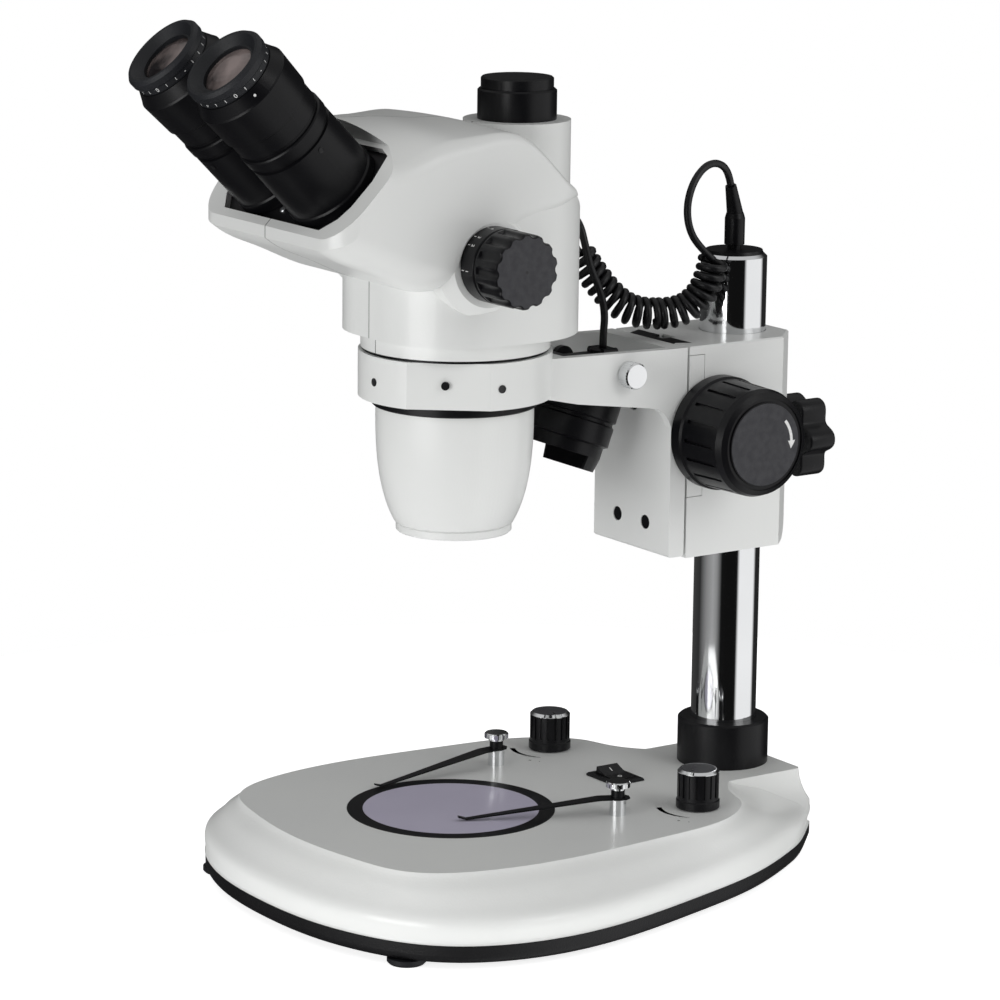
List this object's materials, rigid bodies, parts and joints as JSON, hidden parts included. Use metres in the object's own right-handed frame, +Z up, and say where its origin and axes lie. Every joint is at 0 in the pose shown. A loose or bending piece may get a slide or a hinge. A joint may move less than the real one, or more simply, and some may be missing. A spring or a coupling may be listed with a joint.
{
  "type": "stereo zoom microscope",
  "caption": "Trinocular stereo zoom microscope on a lit pillar stand, with tilted eyepiece tubes, side focus and zoom knobs, stage clips and a curly lamp lead.",
  "frame": {"origin": "middle of the footprint, on the surface that the feet stand on", "axes": "+Z up, +Y away from the user towards the pillar, +X to the user's right"},
  "size_m": [0.239, 0.3645, 0.4155],
  "materials": {
    "white_paint": "satin white enamel on castings",
    "black_base": "black textured enamel",
    "black_plastic": "satin black moulded plastic",
    "black_anodised": "black anodised",
    "black_rubber": "matte rubber",
    "chrome": "polished chrome plate",
    "steel": "machined steel",
    "brass": "turned brass",
    "frosted_glass": "frosted glass",
    "lens_glass": "coated lens",
    "board": "circuit board",
    "wire": "black cable jacket"
  },
  "bodies": {
    "stand": {"base_casting": "white_paint", "base_plate": "black_base", "feet": "black_rubber", "pillar": "chrome", "pillar_collar": "black_plastic", "pillar_cap": "black_plastic", "stage_ring": "black_anodised", "stage_plate": "frosted_glass", "led_board": "board", "control_board": "board", "clip_posts": "chrome", "switch_bezel": "black_plastic", "power_inlet": "black_plastic", "lead_plug": "black_plastic", "lead_loop": "wire", "lead_coil_rear": "wire"},
    "clip_arm_right": {"clip_right": "black_anodised"},
    "clip_arm_left": {"clip_left": "black_anodised"},
    "dimmer_right": {"dimmer_knob_right": "black_plastic"},
    "dimmer_left": {"dimmer_knob_left": "black_plastic"},
    "rocker": {"switch_rocker": "black_plastic"},
    "pillar_sleeve": {"guide_bush": "brass", "lead_coil_front": "wire"},
    "block": {"focus_block": "white_paint", "rail_covers": "white_paint", "lead_tail": "wire"},
    "clamp": {"clamp_knob": "black_plastic"},
    "focus_right": {"focus_knob_right": "black_plastic"},
    "focus_left": {"focus_knob_left": "black_plastic", "pinion_shaft": "steel"},
    "holder": {"holder_casting": "white_paint", "focus_rail": "black_anodised", "focus_rack": "steel", "holder_screws": "black_anodised", "cable_clamp": "black_anodised"},
    "thumb": {"arm_thumb_screw": "chrome"},
    "lamp": {"lamp_housing": "black_plastic", "lamp_lens": "lens_glass", "lamp_bracket": "black_anodised"},
    "head": {"head_shell_right": "white_paint", "head_shell_left": "white_paint", "neck_flange": "black_anodised", "retaining_ring": "black_anodised", "objective_housing": "white_paint", "objective_ring": "white_paint", "objective_lens": "lens_glass", "eyepiece_plate": "black_anodised", "photo_adapter": "black_anodised"},
    "port_cap": {"photo_cap": "black_plastic"},
    "zoom": {"zoom_shaft": "steel", "zoom_knob_right": "black_plastic", "zoom_knob_left": "black_plastic"},
    "ocular_right": {"tube_right": "black_anodised", "eyepiece_right": "black_anodised"},
    "ocular_left": {"tube_left": "black_anodised", "eyepiece_left": "black_anodised"},
    "diopter_right": {"eyecup_right": "black_rubber", "eye_lens_right": "lens_glass"},
    "diopter_left": {"eyecup_left": "black_rubber", "eye_lens_left": "lens_glass"}
  },
  "joints": [
    {"name": "clip_turn_right", "type": "hinge", "parent": "stand", "child": "clip_arm_right", "pos_m": [0.0506, 0.0319, 0.048], "axis": [0, 0, 1], "range_deg": [-45, 70]},
    {"name": "clip_turn_left", "type": "hinge", "parent": "stand", "child": "clip_arm_left", "pos_m": [-0.0506, 0.0319, 0.048], "axis": [0, 0, 1], "range_deg": [-45, 45]},
    {"name": "dimmer_turn_right", "type": "hinge", "parent": "stand", "child": "dimmer_right", "pos_m": [0.061, 0.0713, 0.05], "axis": [0, 0, 1], "range_deg": [0, 270]},
    {"name": "dimmer_turn_left", "type": "hinge", "parent": "stand", "child": "dimmer_left", "pos_m": [-0.061, 0.0713, 0.05], "axis": [0, 0, 1], "range_deg": [0, 270]},
    {"name": "rocker_tip", "type": "hinge", "parent": "stand", "child": "rocker", "pos_m": [0, 0.0673, 0.0381], "axis": [0, 1, 0], "range_deg": [0, 14]},
    {"name": "pillar_slide", "type": "slide", "parent": "stand", "child": "pillar_sleeve", "axis": [0, 0, 1], "range_m": [-0.05, 0.03], "deforming": ["lead_coil_rear"]},
    {"name": "pillar_swivel", "type": "hinge", "parent": "pillar_sleeve", "child": "block", "pos_m": [0, 0.1326, 0.204], "axis": [0, 0, 1], "range_deg": [-90, 90], "deforming": ["lead_coil_front"]},
    {"name": "clamp_turn", "type": "hinge", "parent": "block", "child": "clamp", "pos_m": [0, 0.1663, 0.1985], "axis": [0, 1, 0], "range_deg": [-180, 180]},
    {"name": "focus_turn_right", "type": "hinge", "parent": "block", "child": "focus_right", "pos_m": [0.04, 0.1003, 0.2132], "axis": [1, 0, 0], "range_deg": [-200, 200]},
    {"name": "focus_turn_left", "type": "hinge", "parent": "block", "child": "focus_left", "pos_m": [-0.04, 0.1003, 0.2132], "axis": [1, 0, 0], "range_deg": [-200, 200]},
    {"name": "focus_slide", "type": "slide", "parent": "block", "child": "holder", "axis": [0, 0, 1], "range_m": [-0.0244, 0.0244], "deforming": ["lead_tail"]},
    {"name": "thumb_turn", "type": "hinge", "parent": "holder", "child": "thumb", "pos_m": [0.034, 0.0483, 0.2455], "axis": [1, 0, 0], "range_deg": [-180, 180]},
    {"name": "lamp_tilt", "type": "hinge", "parent": "holder", "child": "lamp", "pos_m": [0, 0.0483, 0.2455], "axis": [1, 0, 0], "range_deg": [-6, 6]},
    {"name": "head_turn", "type": "hinge", "parent": "holder", "child": "head", "pos_m": [0, -0.0287, 0.25], "axis": [0, 0, 1], "continuous": true},
    {"name": "port_cap_lift", "type": "slide", "parent": "head", "child": "port_cap", "axis": [0, 0, 1], "range_m": [0, 0.012]},
    {"name": "zoom_turn", "type": "hinge", "parent": "head", "child": "zoom", "pos_m": [0, -0.0447, 0.3082], "axis": [1, 0, 0], "range_deg": [-135, 135]},
    {"name": "ocular_swing_right", "type": "hinge", "parent": "head", "child": "ocular_right", "pos_m": [0.0225, -0.09742, 0.35474], "axis": [0, -0.7071, 0.7071], "range_deg": [0, 15]},
    {"name": "ocular_swing_left", "type": "hinge", "parent": "head", "child": "ocular_left", "pos_m": [-0.0225, -0.09742, 0.35474], "axis": [0, -0.7071, 0.7071], "range_deg": [-15, 0]},
    {"name": "diopter_turn_right", "type": "hinge", "parent": "ocular_right", "child": "diopter_right", "pos_m": [0.0225, -0.10945, 0.34272], "axis": [0.0454, -0.7064, 0.7064], "range_deg": [-60, 60]},
    {"name": "diopter_turn_left", "type": "hinge", "parent": "ocular_left", "child": "diopter_left", "pos_m": [-0.0225, -0.10945, 0.34272], "axis": [-0.0454, -0.7064, 0.7064], "range_deg": [-60, 60]}
  ],
  "couplings": [
    {"joint": "focus_turn_right", "follows": "focus_slide", "rad_per_m": -142.86},
    {"joint": "focus_turn_left", "follows": "focus_slide", "rad_per_m": -142.86},
    {"joint": "ocular_swing_left", "follows": "ocular_swing_right", "ratio": -1}
  ]
}
